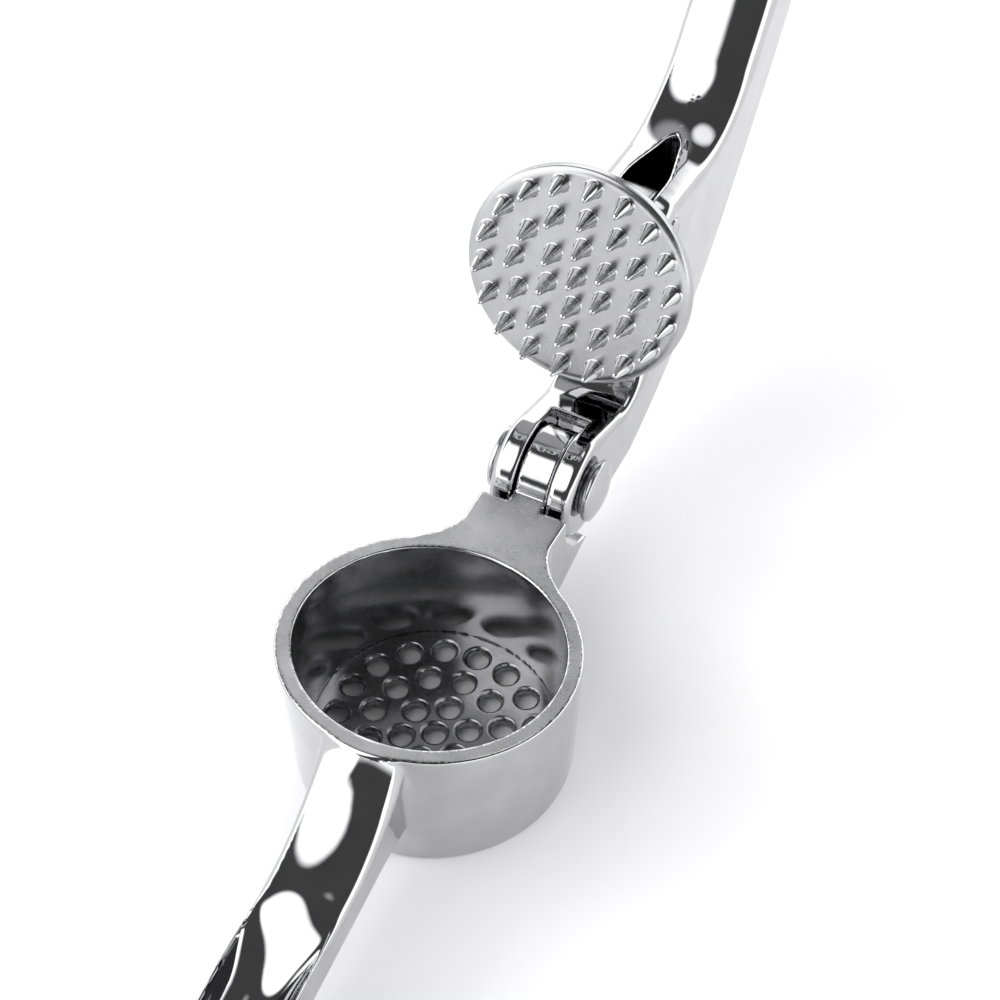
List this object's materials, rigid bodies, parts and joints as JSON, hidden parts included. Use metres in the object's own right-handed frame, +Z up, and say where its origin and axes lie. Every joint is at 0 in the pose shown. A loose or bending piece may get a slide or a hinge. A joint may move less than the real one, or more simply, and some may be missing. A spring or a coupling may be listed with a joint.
{
  "type": "garlic press",
  "caption": "Cast metal garlic press, held open: round cup with a perforated floor, hinged upper handle and a swinging plunger with matching studs.",
  "frame": {"origin": "centre of the cup's flat base", "axes": "+Z up out of the cup along its axis, +Y from the cup towards the hinge, +X along the hinge pin"},
  "size_m": [0.0362, 0.2669, 0.1227],
  "materials": {
    "chrome": "polished chrome plate on a die casting",
    "plunger_chrome": "polished chrome plate",
    "head_chrome": "polished, slightly softer than the castings",
    "sieve_steel": "satin, bright countersinks",
    "pin_steel": "ground",
    "washer_steel": "dull"
  },
  "bodies": {
    "frame": {"lower_handle": "chrome", "sieve_plate": "sieve_steel"},
    "lever": {"upper_handle": "chrome", "plunger_pin": "pin_steel", "hinge_pin": "head_chrome", "hinge_pin_cap": "head_chrome", "hinge_washer_left": "washer_steel", "hinge_washer_right": "washer_steel"},
    "ram": {"plunger": "plunger_chrome"}
  },
  "joints": [
    {"name": "handle_hinge", "type": "hinge", "parent": "frame", "child": "lever", "pos_m": [0, 0.0322, 0.0146], "axis": [1, 0, 0], "range_deg": [-25, 125.8]},
    {"name": "plunger_swing", "type": "hinge", "parent": "lever", "child": "ram", "pos_m": [0, 0.05566, 0.03738], "axis": [1, 0, 0], "range_deg": [-14.5, 2.89]}
  ],
  "couplings": [
    {"joint": "plunger_swing", "follows": "handle_hinge", "ratio": -0.11526}
  ]
}
